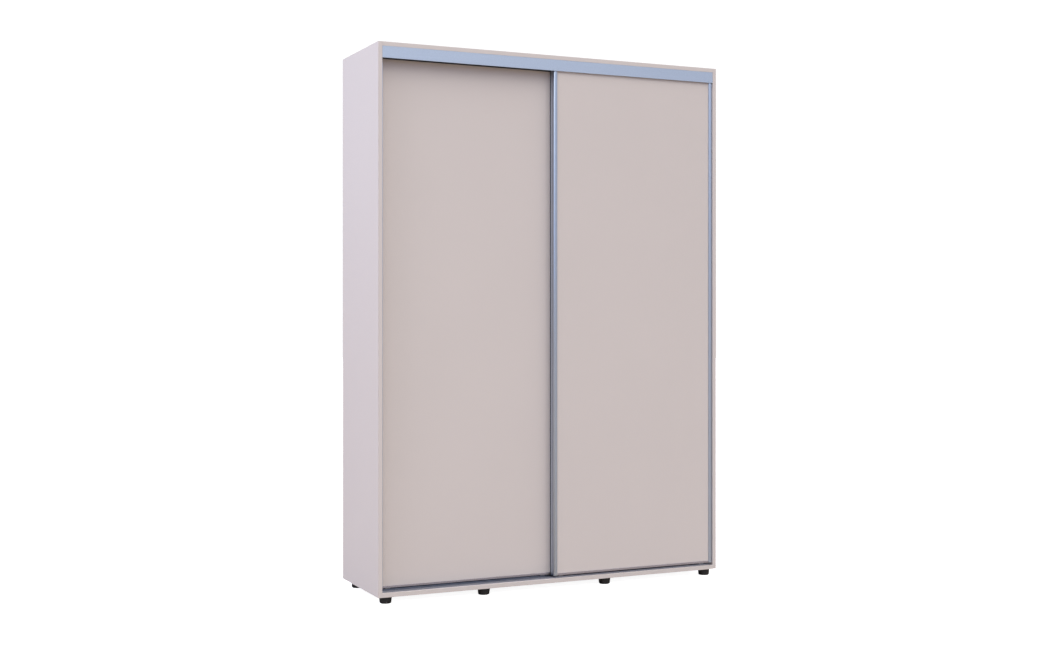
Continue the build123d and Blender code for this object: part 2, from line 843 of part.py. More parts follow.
    with BuildPart() as axles:
        for x, y, z in wheel_places:
            rod((x, y - half_chamber, z), BACKWARD, axle_radius, 2 * half_chamber)
    keep(axles, f"{door}_axles")

    for number, (x, y, z) in enumerate(wheel_places, start=1):
        with BuildPart() as wheel:
            rod((x, y - wheel_width / 2, z), BACKWARD, wheel_radius, wheel_width)
            fillet(wheel.edges().filter_by(GeomType.CIRCLE), wheel_edge_fillet)
            bore_start = (x, y - wheel_width / 2, z)
            drill(bore_start, BACKWARD, axle_radius + running_clearance, wheel_width)
        keep(wheel, f"{door}_wheel_{number}")

    # Top guides, each with a roller on an upright pin
    guide_places = [
        (x, door_face + guide_middle)
        for x in (
            rail_left + guide_offset + guide_bracket_length / 2,
            rail_right - guide_offset - guide_bracket_length / 2,
        )
    ]
    half_bracket = guide_bracket_length / 2
    boss_top = door_top - top_rail_height + profile_wall + boss_height
    chamber_low = screw_row - half_chamber
    chamber_high = screw_row + half_chamber
    plate_top = door_top + guide_plate_thickness
    plate_front = door_face + guide_middle - 2 * guide_pin_radius
    with BuildPart() as guide_brackets:
        for x, y in guide_places:
            block((x - half_bracket, chamber_low, boss_top), (x + half_bracket, chamber_high, plate_top))
            block((x - half_bracket, plate_front, door_top), (x + half_bracket, chamber_high, plate_top))
        for x, y in guide_places:
            drill((x, y, plate_top), DOWN, guide_pin_radius, guide_plate_thickness)
    keep(guide_brackets, f"{door}_guide_brackets")

    roller_low = plate_top + guide_gap
    with BuildPart() as guide_pins:
        for x, y in guide_places:
            pin_length = guide_plate_thickness + guide_gap + guide_height + guide_gap
            rod((x, y, door_top), UP, guide_pin_radius, pin_length)
            rod(
                (x, y, roller_low + guide_height + guide_gap / 2),
                UP,
                guide_pin_head_radius,
                guide_pin_head_height,
            )
    keep(guide_pins, f"{door}_guide_pins")

    for number, (x, y) in enumerate(guide_places, start=1):
        with BuildPart() as guide_roller:
            rod((x, y, roller_low), UP, guide_radius, guide_height)
            fillet(guide_roller.edges().filter_by(GeomType.CIRCLE), wheel_edge_fillet)
            drill((x, y, roller_low), UP, guide_pin_radius + running_clearance, guide_height)
        keep(guide_roller, f"{door}_guide_roller_{number}")

    # The brush seal closes the gap to the other door
    brush_reach = door_pitch - stile_depth - brush_clearance
    if brush_on_left:
        base_left = door_left + brush_inset
        base_face = rear_face
        reach = 1
    else:
        base_left = door_right - brush_inset - brush_base_width
        base_face = door_face
        reach = -1
    pile_left = base_left + (brush_base_width - brush_pile_width) / 2
    pile_tip = base_face + reach * brush_reach
    base_tip = base_face + reach * brush_base_height
    brush_top = inner_top - top_leg_height - brush_track_clearance
    with BuildPart() as brush:
        block(
            (base_left, min(base_face, base_tip), door_bottom),
            (base_left + brush_base_width, max(base_face, base_tip), brush_top),
        )
        block(
            (pile_left, min(base_tip, pile_tip), door_bottom),
            (pile_left + brush_pile_width, max(base_tip, pile_tip), brush_top),
        )
    keep(brush, f"{door}_brush")


make_door("left_door", inner_left + door_side_gap, rear_door_face, brush_on_left=False)
make_door("right_door", inner_right - door_side_gap - door_width, front_door_face, brush_on_left=True)
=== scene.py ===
"""Looks for a two-door sliding wardrobe: boards, silver profiles, brush seals, wheels and feet.

Everything is in metres, +Z up, with the doors facing -Y.
"""

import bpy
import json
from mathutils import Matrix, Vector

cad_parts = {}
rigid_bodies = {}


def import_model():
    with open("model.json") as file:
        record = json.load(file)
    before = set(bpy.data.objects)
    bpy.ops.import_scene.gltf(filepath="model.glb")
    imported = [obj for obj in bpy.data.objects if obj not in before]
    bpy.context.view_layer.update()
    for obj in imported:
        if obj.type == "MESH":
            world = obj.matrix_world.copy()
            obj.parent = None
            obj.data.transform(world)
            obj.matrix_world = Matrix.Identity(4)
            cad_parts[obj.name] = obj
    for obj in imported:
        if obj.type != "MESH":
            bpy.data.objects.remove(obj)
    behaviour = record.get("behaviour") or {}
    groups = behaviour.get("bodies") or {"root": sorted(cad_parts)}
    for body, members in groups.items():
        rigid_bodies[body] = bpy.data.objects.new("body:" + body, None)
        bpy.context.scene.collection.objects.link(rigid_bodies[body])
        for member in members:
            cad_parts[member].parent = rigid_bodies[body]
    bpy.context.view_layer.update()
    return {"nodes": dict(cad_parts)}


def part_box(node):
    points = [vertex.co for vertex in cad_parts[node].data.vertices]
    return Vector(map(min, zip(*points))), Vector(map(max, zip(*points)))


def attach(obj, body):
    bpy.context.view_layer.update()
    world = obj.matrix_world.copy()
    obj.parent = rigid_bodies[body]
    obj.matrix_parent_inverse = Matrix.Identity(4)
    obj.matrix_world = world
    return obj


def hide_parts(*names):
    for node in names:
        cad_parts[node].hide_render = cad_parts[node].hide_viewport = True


bl_info = {
    "name": "Sliding Wardrobe",
    "version": (1, 0, 0),
    "blender": (4, 5, 0),
    "location": "View3D > Sidebar > Wardrobe",
    "description": "Finishes the boards, profiles, seals, wheels and feet of a sliding door wardrobe",
    "category": "Object",
}

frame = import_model()

import json
import math

import bmesh
import bpy
from bpy.props import FloatProperty, FloatVectorProperty, IntProperty, PointerProperty
from mathutils import Matrix, Vector

DOORS = ("left_door", "right_door")

# How flat a face is when it counts as an end, a top or a tip, and the smallest gap that counts
FLAT = 0.99
HAIR = 0.0001

# Wheels and guide rollers: bores for the axles and pins, wall of the hub, and the recessed web
AXLE_BORE = 0.00205
PIN_BORE = 0.00305
HUB_WALL = 0.0022
WEB_STEP = 0.0007
HUB_STEP = 0.00049
RIM_ROUND = 0.0009
ROLLER_GROOVE = 0.0012
GROOVE_EDGE = 0.28

# Brush seals: the backing strip, and the tufts as shares of their reach
BACKING = 0.001
BACKING_ROUND = 0.0003
PILE_WIDTH = 0.0060
TUFT_ROOT = 0.2
TUFT_STAGES = ((0.45, 0.6), (0.33, 0.4))
TUFT_RAGGED = 0.02
TUFT_FILL = 0.92

# Feet: rounded edges, the edges of the grooves, and the well for the screw
FOOT_ROUND = 0.004
COLLAR_ROUND = 0.0006
GROOVE_MARGIN = 0.0002
WELL_RADIUS = 0.006
WELL_DEPTH = 0.018

# Screw covers: how far they lap over the bore, their play in it, and how they sit in the grip
COVER_LAP = 0.00055
COVER_PLAY = 0.00015
COVER_FLANGE = 0.0005
COVER_STEM = 0.0006
COVER_DISH = 0.00012
COVER_RIM = 0.35
COVER_PLACE = 0.0013
COVER_LEAN = 0.125
HEAD_MOUTH = 0.00425
ADJUSTER_MOUTH = 0.00275

# Grain of the drawn profiles, which runs along X or along Z
ALONG_X = (0.004, 1, 1)
ALONG_Z = (1, 1, 0.004)
EVEN = (1, 1, 1)


# ---------------------------------------------------------------- sizes and colours

class WardrobeSizes(bpy.types.PropertyGroup):
    """Sizes of the pieces that are modelled on top of the frame"""

    board_round: FloatProperty(
        name="Board edge", description="Radius on the arrises of the boards",
        default=0.0005, unit="LENGTH")
    metal_round: FloatProperty(
        name="Profile edge", description="Radius on the corners of the aluminium profiles",
        default=0.0003, unit="LENGTH")
    foot_bottom: FloatProperty(
        name="Foot bottom", description="Radius of a foot where it meets the floor",
        default=0.022, unit="LENGTH")
    foot_collar: FloatProperty(
        name="Foot collar", description="Height of the plain band above the grip ribs",
        default=0.006, unit="LENGTH")
    foot_ribs: IntProperty(
        name="Foot ribs", description="Number of grip ribs around each foot", default=36, min=12)
    foot_groove: FloatProperty(
        name="Foot groove", description="Depth of the grooves between the grip ribs",
        default=0.0006, unit="LENGTH")
    wheel_rim: FloatProperty(
        name="Wheel rim", description="Width of the rim around a wheel's recessed web",
        default=0.0022, unit="LENGTH")
    wheel_hub: FloatProperty(
        name="Wheel hub", description="Radius of the boss around a wheel's bore",
        default=0.0048, unit="LENGTH")
    tuft_spacing: FloatProperty(
        name="Tuft spacing", description="Distance between the tufts of a brush seal",
        default=0.003, unit="LENGTH")
    tuft_spread: FloatProperty(
        name="Tuft spread", description="How far a tuft fans out on each side at its tip",
        default=0.0003, unit="LENGTH")


class WardrobeColours(bpy.types.PropertyGroup):
    """Colours of the finishes"""

    carcass: FloatVectorProperty(
        name="Carcass laminate", description="Side panels, top and bottom",
        default=(0.604, 0.535, 0.518), subtype="COLOR", min=0, max=1)
    inside: FloatVectorProperty(
        name="Inner laminate", description="Partition and shelves",
        default=(0.600, 0.532, 0.515), subtype="COLOR", min=0, max=1)
    door: FloatVectorProperty(
        name="Door laminate", description="Door panels",
        default=(0.604, 0.533, 0.515), subtype="COLOR", min=0, max=1)
    edging: FloatVectorProperty(
        name="Edge banding", description="Front edges of the boards",
        default=(0.604, 0.533, 0.515), subtype="COLOR", min=0, max=1)
    fibreboard: FloatVectorProperty(
        name="Back sheets", description="Thin hardboard at the back",
        default=(0.500, 0.420, 0.340), subtype="COLOR", min=0, max=1)
    silver: FloatVectorProperty(
        name="Silver profiles", description="Anodised aluminium of the frames and tracks",
        default=(0.500, 0.554, 0.648), subtype="COLOR", min=0, max=1)
    rail_silver: FloatVectorProperty(
        name="Silver rails", description="Anodised aluminium of the doors' bottom rails",
        default=(0.490, 0.465, 0.530), subtype="COLOR", min=0, max=1)
    track_silver: FloatVectorProperty(
        name="Bottom track", description="Anodised aluminium of the bottom track",
        default=(0.290, 0.295, 0.345), subtype="COLOR", min=0, max=1)
    # Painted shade: the top rails get a much darker silver than the other profiles, so that the rail
    # seen in the gap under the fascia reads as deep shadow
    painted_shade_silver: FloatVectorProperty(
        name="Top rails", description="Doors' top rails, darkened to paint the shade under the fascia",
        default=(0.180, 0.180, 0.195), subtype="COLOR", min=0, max=1)
    steel: FloatVectorProperty(
        name="Zinc plating", description="Screws, nails, axles and pins",
        default=(0.560, 0.575, 0.600), subtype="COLOR", min=0, max=1)
    chrome: FloatVectorProperty(
        name="Chrome", description="Hanging rail and its brackets",
        default=(0.750, 0.755, 0.770), subtype="COLOR", min=0, max=1)
    black: FloatVectorProperty(
        name="Black plastic", description="Feet",
        default=(0.020, 0.019, 0.020), subtype="COLOR", min=0, max=1)
    pile: FloatVectorProperty(
        name="Brush pile", description="Brush seals",
        default=(0.016, 0.015, 0.016), subtype="COLOR", min=0, max=1)
    grey: FloatVectorProperty(
        name="Grey plastic", description="Carriages and guide brackets",
        default=(0.180, 0.185, 0.195), subtype="COLOR", min=0, max=1)
    nylon: FloatVectorProperty(
        name="White nylon", description="Wheels and guide rollers",
        default=(0.720, 0.705, 0.660), subtype="COLOR", min=0, max=1)
    beech: FloatVectorProperty(
        name="Beech", description="Dowels",
        default=(0.560, 0.370, 0.210), subtype="COLOR", min=0, max=1)
    floor: FloatVectorProperty(
        name="Floor", description="Pale studio floor",
        default=(0.760, 0.760, 0.760), subtype="COLOR", min=0, max=1)
    sky: FloatVectorProperty(
        name="Light near the horizon", description="Cool light that the metal reflects",
        default=(0.720, 0.850, 1.150), subtype="COLOR", min=0)
    far_side: FloatVectorProperty(
        name="Light from the far side", description="Dimmer light from the wardrobe's right",
        default=(0.420, 0.420, 0.460), subtype="COLOR", min=0)
    overhead: FloatVectorProperty(
        name="Light overhead", description="Bright light from above",
        default=(1.200, 1.280, 1.420), subtype="COLOR", min=0)
    bounce: FloatVectorProperty(
        name="Light from the ground", description="Warm light from the ground",
        default=(0.385, 0.312, 0.245), subtype="COLOR", min=0)


# ---------------------------------------------------------------- building materials

class Finish:
    """A new node material with short ways to add what a finish needs."""

    def __init__(self, name):
        self.material = bpy.data.materials.new(name)
        self.material.use_nodes = True
        self.tree = self.material.node_tree
        self.shader = self.tree.nodes["Principled BSDF"]
        self.place = self.tree.nodes.new("ShaderNodeTexCoord").outputs["Object"]

    def link(self, output, socket):
        """Feed one socket from another."""
        self.tree.links.new(output, socket)

    def stretched(self, scale):
        """Return the coordinates scaled along each axis, for grain that runs one way."""
        mapping = self.tree.nodes.new("ShaderNodeMapping")
        mapping.inputs["Scale"].default_value = scale
        self.link(self.place, mapping.inputs["Vector"])
        return mapping.outputs["Vector"]

    def noise(self, scale, detail=3.0, roughness=0.55, coords=None):
        """Return a noise pattern with features of about 1/scale metres."""
        node = self.tree.nodes.new("ShaderNodeTexNoise")
        node.inputs["Scale"].default_value = scale
        node.inputs["Detail"].default_value = detail
        node.inputs["Roughness"].default_value = roughness
        self.link(coords or self.place, node.inputs["Vector"])
        return node.outputs["Fac"]

    def spread(self, value, low, high):
        """Return a value between low and high that follows a pattern."""
        node = self.tree.nodes.new("ShaderNodeMapRange")
        node.inputs["From Min"].default_value = 0.3
        node.inputs["From Max"].default_value = 0.7
        node.inputs["To Min"].default_value = low
        node.inputs["To Max"].default_value = high
        self.link(value, node.inputs["Value"])
        return node.outputs["Result"]

    def shades(self, colour, pattern, low, high):
        """Return the colour made darker and lighter by a pattern, between two factors."""
        node = self.tree.nodes.new("ShaderNodeMix")
        node.data_type = "RGBA"
        node.inputs["A"].default_value = (*[channel * low for channel in colour], 1)
        node.inputs["B"].default_value = (*[min(1, channel * high) for channel in colour], 1)
        self.link(self.spread(pattern, 0, 1), node.inputs["Factor"])
        return node.outputs["Result"]

    def multiply(self, colour, pattern, low, high):
        """Return a colour output scaled by a second pattern, between two factors."""
        node = self.tree.nodes.new("ShaderNodeVectorMath")
        node.operation = "SCALE"
        self.link(colour, node.inputs[0])
        self.link(self.spread(pattern, low, high), node.inputs["Scale"])
        return node.outputs["Vector"]

    def bump(self, pattern, strength, distance, normal=None):
        """Return a surface normal raised by a pattern."""
        node = self.tree.nodes.new("ShaderNodeBump")
        node.inputs["Strength"].default_value = strength
        node.inputs["Distance"].default_value = distance
        self.link(pattern, node.inputs["Height"])
        if normal:
            self.link(normal, node.inputs["Normal"])
        return node.outputs["Normal"]

    def done(self, colour, roughness, normal, **constants):
        """Connect the surface and set what is the same all over it."""
        self.link(colour, self.shader.inputs["Base Color"])
        self.link(roughness, self.shader.inputs["Roughness"])
        self.link(normal, self.shader.inputs["Normal"])
        for socket, value in constants.items():
            self.shader.inputs[socket.replace("_", " ")].default_value = value
        return self.material


def laminate(name, colour):
    """Melamine laminate: an even print with a fine pearl texture."""
    finish = Finish(name)
    cloud = finish.noise(2.3, 2.0)
    speck = finish.noise(900, 2.0)
    pearl = finish.noise(1700, 3.0, 0.6)
    shade = finish.multiply(finish.shades(colour, speck, 0.982, 1.018), cloud, 0.992, 1.008)
    return finish.done(
        shade, finish.spread(pearl, 0.40, 0.50), finish.bump(pearl, 0.10, 0.00008),
        **{"Specular_IOR_Level": 0.38})


def edge_banding(name, colour):
    """Plastic edging: an even colour with a fine grain and a soft shine."""
    finish = Finish(name)
    cloud = finish.noise(14, 2.0)
    fine = finish.noise(1500, 2.0)
    return finish.done(
        finish.multiply(finish.shades(colour, fine, 0.985, 1.015), cloud, 0.995, 1.005),
        finish.spread(fine, 0.36, 0.46), finish.bump(fine, 0.08, 0.00006),
        **{"Specular_IOR_Level": 0.40})


def hardboard(name, colour):
    """Thin pressed hardboard: matted fibres under a thin wash."""
    finish = Finish(name)
    fibre = finish.noise(420, 5.0, 0.7, finish.stretched((1.0, 1.0, 0.45)))
    cloud = finish.noise(3, 2.0)
    return finish.done(
        finish.multiply(finish.shades(colour, fibre, 0.90, 1.08), cloud, 0.98, 1.02),
        finish.spread(fibre, 0.62, 0.80), finish.bump(fibre, 0.25, 0.0002),
        **{"Specular_IOR_Level": 0.25})


def anodised(name, colour, roughness, grain):
    """Anodised aluminium: fine die lines along the profile under a matte, speckled skin."""
    finish = Finish(name)
    lines = finish.noise(700, 2.0, 0.5, finish.stretched(grain))
    speck = finish.noise(2600, 2.0, 0.6)
    mottle = finish.noise(210, 3.0, 0.7)
    shade = finish.multiply(finish.shades(colour, mottle, 0.955, 1.045), lines, 0.985, 1.015)
    normal = finish.bump(speck, 0.10, 0.00005, finish.bump(lines, 0.06, 0.00004))
    return finish.done(
        shade, finish.spread(speck, roughness - 0.05, roughness + 0.05), normal, Metallic=1.0)


def plated_steel(name, colour, roughness):
    """Zinc plated steel: a blue-yellow bloom and a fine matte grain."""
    finish = Finish(name)
    bloom = finish.noise(150, 3.0)
    grain = finish.noise(2400, 3.0)
    return finish.done(
        finish.multiply(finish.shades(colour, bloom, 0.86, 1.08), grain, 0.95, 1.05),
        finish.spread(grain, roughness - 0.06, roughness + 0.08), finish.bump(grain, 0.12, 0.00005),
        Metallic=1.0)


def chrome(name, colour):
    """Chrome plating: a mirror skin with the faint ripple of the tube under it."""
    finish = Finish(name)
    ripple = finish.noise(70, 2.0, 0.5, finish.stretched((1, 0.15, 1)))
    haze = finish.noise(900, 2.0)
    return finish.done(
        finish.shades(colour, haze, 0.97, 1.02), finish.spread(haze, 0.07, 0.14),
        finish.bump(ripple, 0.04, 0.0001), Metallic=1.0)


def moulded(name, colour, roughness, grain_scale=1600, grain_depth=0.00012):
    """Moulded plastic: spark-eroded grain and a slight bloom from handling."""
    finish = Finish(name)
    grain = finish.noise(grain_scale, 3.0, 0.6)
    bloom = finish.noise(40, 2.0)
    return finish.done(
        finish.multiply(finish.shades(colour, grain, 0.88, 1.14), bloom, 0.94, 1.08),
        finish.spread(grain, roughness - 0.07, roughness + 0.07),
        finish.bump(grain, 0.30, grain_depth), **{"Specular_IOR_Level": 0.42})


def turned_nylon(name, colour):
    """Turned nylon: waxy, with fine tool marks and a little light going in."""
    finish = Finish(name)
    marks = finish.noise(900, 3.0)
    return finish.done(
        finish.shades(colour, marks, 0.95, 1.04), finish.spread(marks, 0.32, 0.42),
        finish.bump(marks, 0.12, 0.00006),
        **{"Subsurface_Weight": 0.15, "Subsurface_Scale": 0.002})


def brush_pile(name, colour):
    """Dense black pile: matte hairs that run out of the backing."""
    finish = Finish(name)
    hairs = finish.noise(2600, 4.0, 0.7, finish.stretched((1, 0.06, 1)))
    return finish.done(
        finish.shades(colour, hairs, 0.45, 1.9), finish.spread(hairs, 0.75, 0.95),
        finish.bump(hairs, 0.8, 0.0004),
        **{"Sheen_Weight": 0.25, "Sheen_Roughness": 0.4, "Specular_IOR_Level": 0.2})


def turned_beech(name, colour):
    """Beech: short flecks along the grain."""
    finish = Finish(name)
    grain = finish.noise(700, 4.0, 0.6, finish.stretched((0.12, 1, 1)))
    return finish.done(
        finish.shades(colour, grain, 0.82, 1.12), finish.spread(grain, 0.55, 0.70),
        finish.bump(grain, 0.3, 0.0001))


def studio_floor(name, colour, glow):
    """A plain floor with the faintest unevenness, lifted by a glow of its own."""
    finish = Finish(name)
    cloud = finish.noise(0.6, 2.0)
    grain = finish.noise(120, 2.0)
    return finish.done(
        finish.shades(colour, cloud, 0.995, 1.005), finish.spread(grain, 0.60, 0.70),
        finish.bump(grain, 0.05, 0.0002),
        **{"Specular_IOR_Level": 0.2, "Emission_Color": (1, 1, 1, 1), "Emission_Strength": glow})


# ---------------------------------------------------------------- shared modelling steps

def settings():
    """Return the sizes and the colours held by the open file."""
    scene = bpy.context.scene
    return scene.wardrobe_sizes, scene.wardrobe_colours


def paint(names, material):
    """Give CAD nodes one material."""
    for name in names:
        for slot in frame["nodes"][name].material_slots:
            slot.material = material


def soften(name, width, segments=2):
    """Round the sharp corners of a CAD node with modifiers, so that they catch the light."""
    node = frame["nodes"][name]
    weld = node.modifiers.new("Weld", "WELD")
    weld.merge_threshold = 0.00001
    rounding = node.modifiers.new("Round", "BEVEL")
    rounding.width = width
    rounding.segments = segments
    rounding.limit_method = "ANGLE"
    rounding.angle_limit = math.radians(40)
    rounding.harden_normals = True
    rounding.use_clamp_overlap = True


def start_mesh(add, name, **placing):
    """Add a primitive on its own, with its place and turn put into its mesh."""
    bpy.ops.object.select_all(action="DESELECT")
    add(**placing)
    piece = bpy.context.active_object
    piece.name = name
    piece.data.name = name
    bpy.ops.object.transform_apply(location=True, rotation=True, scale=True)
    return piece


def pick(piece, kind, wanted):
    """Select the faces or edges of a piece that a test accepts, ready for an edit-mode step."""
    bpy.ops.object.mode_set(mode="OBJECT")
    mesh = piece.data
    for group in (mesh.vertices, mesh.edges, mesh.polygons):
        for item in group:
            item.select = False
    chosen = mesh.polygons if kind == "FACE" else mesh.edges
    for item in chosen:
        item.select = wanted(item)
    bpy.context.view_layer.objects.active = piece
    bpy.context.tool_settings.mesh_select_mode = (False, kind == "EDGE", kind == "FACE")
    bpy.ops.object.mode_set(mode="EDIT")


def finish_mesh(piece, smooth_angle=35):
    """Merge doubles, point the faces outwards and shade the curved stretches smooth."""
    bpy.ops.object.mode_set(mode="EDIT")
    bpy.ops.mesh.select_all(action="SELECT")
    bpy.ops.mesh.remove_doubles(threshold=0.000005)
    bpy.ops.mesh.normals_make_consistent(inside=False)
    shell = bmesh.from_edit_mesh(piece.data)
    if shell.calc_volume(signed=True) < 0:
        bpy.ops.mesh.flip_normals()
    bpy.ops.object.mode_set(mode="OBJECT")
    bpy.ops.object.select_all(action="DESELECT")
    piece.select_set(True)
    bpy.context.view_layer.objects.active = piece
    bpy.ops.object.shade_smooth_by_angle(angle=math.radians(smooth_angle))


def copied(piece, name, offset):
    """Return a copy of a finished piece, with its own mesh, moved by an offset."""
    copy = piece.copy()
    copy.data = piece.data.copy()
    copy.name = name
    copy.data.name = name
    copy.data.transform(Matrix.Translation(offset))
    bpy.context.scene.collection.objects.link(copy)
    return copy


def settle(piece, body, node, material):
    """Say what a new piece moves with, stands for and is finished in."""
    piece.data.materials.clear()
    piece.data.materials.append(material)
    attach(piece, body)
    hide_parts(node)


def solid_boxes(node):
    """Return the lowest and highest corner of every separate solid in a CAD node."""
    mesh = bmesh.new()
    mesh.from_mesh(frame["nodes"][node].data)
    bmesh.ops.remove_doubles(mesh, verts=mesh.verts, dist=0.00001)
    boxes = []
    waiting = set(mesh.verts)
    while waiting:
        front = [waiting.pop()]
        solid = []
        while front:
            corner = front.pop()
            solid.append(corner.co.copy())
            for edge in corner.link_edges:
                other = edge.other_vert(corner)
                if other in waiting:
                    waiting.remove(other)
                    front.append(other)
        low = Vector([min(place[axis] for place in solid) for axis in range(3)])
        high = Vector([max(place[axis] for place in solid) for axis in range(3)])
        boxes.append((low, high))
    mesh.free()
    return sorted(boxes, key=lambda box: (round(box[0].x, 4), round(box[0].y, 4)))


class WardrobeOperator:
    """What every step of the wardrobe shares."""

    bl_options = {"REGISTER", "UNDO"}


# ---------------------------------------------------------------- steps

class WARDROBE_OT_carcass(WardrobeOperator, bpy.types.Operator):
    """Finish the side panels, top, bottom, partition, shelves, edge bands and back sheets"""

    bl_idname = "wardrobe.carcass"
    bl_label = "Carcass boards"

    def execute(self, context):
        sizes, colours = settings()
        outer = ("side_panel_left", "side_panel_right", "top_board", "bottom_board")
        inner = ["centre_partition", "hat_shelf", "fixed_shelf"]
        inner += [name for name in frame["nodes"] if name.startswith("adjustable_shelf")]
        bands = ("front_edge_bands", "inner_edge_bands")
        backs = ("back_sheet_left", "back_sheet_right")
        paint(outer, laminate("Carcass laminate", colours.carcass))
        paint(inner, laminate("Inner laminate", colours.inside))
        paint(bands, edge_banding("Edge banding", colours.edging))
        paint(backs, hardboard("Hardboard back", colours.fibreboard))
        for name in (*outer, *inner):
            soften(name, sizes.board_round)
        for name in bands:
            soften(name, sizes.board_round / 2)
        return {"FINISHED"}


class WARDROBE_OT_fittings(WardrobeOperator, bpy.types.Operator):
    """Finish the cams, bolts, dowels, shelf pins, nails and screws"""

    bl_idname = "wardrobe.fittings"
    bl_label = "Fittings"

    def execute(self, context):
        colours = settings()[1]
        plated = plated_steel("Zinc plated steel", colours.steel, 0.34)
        names = [
            name for name in frame["nodes"]
            if name.endswith(("screws", "nails", "bolts", "pins", "axles"))
        ]
        paint(names, plated)
        paint(["cam_housings"], plated_steel("Die-cast zinc", colours.steel, 0.48))
        paint(["dowels"], turned_beech("Beech", colours.beech))
        return {"FINISHED"}


class WARDROBE_OT_hanging_rail(WardrobeOperator, bpy.types.Operator):
    """Finish the hanging rail and its brackets"""

    bl_idname = "wardrobe.hanging_rail"
    bl_label = "Hanging rail"

    def execute(self, context):
        sizes, colours = settings()
        paint(["hanging_rail", "hanging_rail_brackets"], chrome("Chrome", colours.chrome))
        soften("hanging_rail_brackets", sizes.metal_round)
        return {"FINISHED"}


class WARDROBE_OT_tracks(WardrobeOperator, bpy.types.Operator):
    """Finish the top track with its fascia and the bottom track"""

    bl_idname = "wardrobe.tracks"
    bl_label = "Tracks"

    def execute(self, context):
        sizes, colours = settings()
        paint(["top_track"], anodised("Anodised top track", colours.silver, 0.42, ALONG_X))
        paint(
            ["bottom_track"],
            anodised("Anodised bottom track", colours.track_silver, 0.38, ALONG_X))
        for name in ("top_track", "bottom_track"):
            soften(name, sizes.metal_round)
        return {"FINISHED"}


class WARDROBE_OT_door_frames(WardrobeOperator, bpy.types.Operator):
    """Finish the stiles and rails of the doors"""

    bl_idname = "wardrobe.door_frames"
    bl_label = "Door frames"

    def execute(self, context):
        sizes, colours = settings()
        top_rails = [f"{door}_top_rail" for door in DOORS]
        bottom_rails = [f"{door}_bottom_rail" for door in DOORS]
        stiles = [f"{door}_stile_{side}" for door in DOORS for side in ("left", "right")]
        # Painted shade: the top rails are darkened to stand for the deep shadow in the gap under the
        # fascia
        paint(top_rails, anodised("Top rails darkened as painted shade", colours.painted_shade_silver, 0.38, ALONG_X))
        paint(
            bottom_rails,
            anodised("Anodised bottom rails", colours.rail_silver, 0.30, ALONG_X))
        paint(stiles, anodised("Anodised stiles", colours.silver, 0.34, ALONG_Z))
        for name in (*top_rails, *bottom_rails, *stiles):
            soften(name, sizes.metal_round)
        return {"FINISHED"}


class WARDROBE_OT_screw_covers(WardrobeOperator, bpy.types.Operator):
    """Model the push-in covers over the screws in the outer sides of the stiles"""

    bl_idname = "wardrobe.screw_covers"
    bl_label = "Screw covers"

    def execute(self, context):
        colours = settings()[1]
        silver = anodised("Anodised covers", colours.silver, 0.34, EVEN)
        large = screw_cover("large_cover", HEAD_MOUTH)
        small = screw_cover("small_cover", ADJUSTER_MOUTH)
        for door in DOORS:
            low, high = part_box(f"{door}_assembly_screws")
            row = (low[1] + high[1]) / 2
            head = (high[1] - low[1]) / 2
            adjuster_low, adjuster_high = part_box(f"{door}_adjusting_screws")
            adjuster = (adjuster_low[2] + adjuster_high[2]) / 2
            covers = (
                ("low_cover", large, low[2] + head), ("high_cover", large, high[2] - head),
                ("adjuster_cover", small, adjuster))
            for side, outward in (("left", -1), ("right", 1)):
                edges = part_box(f"{door}_stile_{side}")
                edge = edges[0][0] if outward < 0 else edges[1][0]
                lean = Vector((outward, -COVER_LEAN, 0)).to_track_quat("Z", "Y")
                for kind, pattern, level in covers:
                    cover = copied(pattern, f"{door}_{side}_{kind}", Vector())
                    seat = Vector((edge - outward * COVER_PLACE, row, level))
                    cover.data.transform(Matrix.Translation(seat) @ lean.to_matrix().to_4x4())
                    cover.data.materials.append(silver)
                    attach(cover, door)
        for pattern in (large, small):
            mesh = pattern.data
            bpy.data.objects.remove(pattern)
            bpy.data.meshes.remove(mesh)
        return {"FINISHED"}


def screw_cover(name, mouth):
    """Model a push-in cover round the origin, facing up: a stem, a rounded flange and a dish."""
    cover = start_mesh(
        bpy.ops.mesh.primitive_cylinder_add, name, vertices=40, radius=mouth + COVER_LAP,
        depth=COVER_FLANGE, end_fill_type="NGON", location=(0, 0, COVER_FLANGE / 2))
    pick(cover, "FACE", lambda face: face.normal.z < -FLAT)
    bpy.ops.mesh.inset(thickness=COVER_LAP + COVER_PLAY)
    bpy.ops.mesh.extrude_region_move(TRANSFORM_OT_translate={"value": (0, 0, -COVER_STEM)})

    def is_crown(edge):
        heights = [cover.data.vertices[index].co.z for index in edge.vertices]
        return min(heights) > COVER_FLANGE * FLAT

    pick(cover, "EDGE", is_crown)
    bpy.ops.mesh.bevel(offset=COVER_FLANGE * 0.4, segments=3)
    pick(cover, "FACE", lambda face: face.normal.z > 0.999)
    bpy.ops.mesh.inset(thickness=mouth * COVER_RIM, depth=-COVER_DISH)
    finish_mesh(cover)
    return cover


class WARDROBE_OT_door_panels(WardrobeOperator, bpy.types.Operator):
    """Finish the door panels"""

    bl_idname = "wardrobe.door_panels"
    bl_label = "Door panels"

    def execute(self, context):
        sizes, colours = settings()
        panels = [f"{door}_panel" for door in DOORS]
        paint(panels, laminate("Door laminate", colours.door))
        for name in panels:
            soften(name, sizes.board_round)
        return {"FINISHED"}


